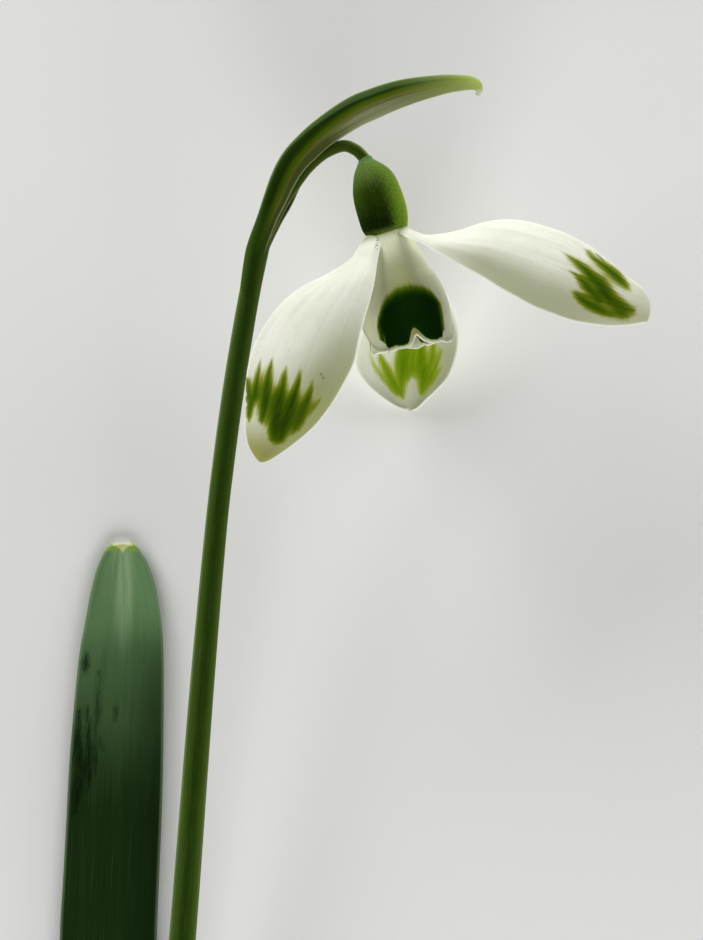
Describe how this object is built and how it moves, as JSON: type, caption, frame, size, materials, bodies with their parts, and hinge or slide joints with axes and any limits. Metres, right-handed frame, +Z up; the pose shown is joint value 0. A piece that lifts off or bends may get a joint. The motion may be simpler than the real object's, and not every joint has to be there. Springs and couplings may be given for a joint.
{
  "type": "snowdrop flower",
  "caption": "Picked snowdrop laid on its back: slender scape and strap leaf in a basal sheath, hooded spathe, and a nodding white flower with green marks.",
  "frame": {"origin": "middle of the footprint, on the surface that the flower lies on", "axes": "+Z up from the surface, +Y along the shoot from its cut base to the spathe's bend, +X to the side that the flower nods to"},
  "size_m": [0.0598, 0.1352, 0.0244],
  "materials": {
    "sheath_skin": "thin papery leaf sheath, cream to pale green",
    "leaf_blade": "fleshy leaf with a waxy blue-green bloom",
    "stem_skin": "smooth fleshy green stem, satin",
    "spathe_skin": "green keels with a pale translucent membrane",
    "ovary_skin": "dark glossy green, finely ribbed",
    "outer_petal": "white petal, satin, green streaks near the tip",
    "inner_petal": "white petal, satin, large dark green mark",
    "anther": "matt orange-yellow",
    "style_skin": "smooth pale green"
  },
  "bodies": {
    "root": {"sheath": "sheath_skin", "leaf": "leaf_blade", "scape": "stem_skin", "pedicel": "stem_skin", "spathe": "spathe_skin", "ovary": "ovary_skin", "outer_tepal_left": "outer_petal", "outer_tepal_right": "outer_petal", "outer_tepal_back": "outer_petal", "inner_tepal_front": "inner_petal", "inner_tepal_right": "inner_petal", "inner_tepal_left": "inner_petal", "stamen_1": "anther", "stamen_2": "anther", "stamen_3": "anther", "stamen_4": "anther", "stamen_5": "anther", "stamen_6": "anther", "style": "style_skin"}
  },
  "joints": []
}
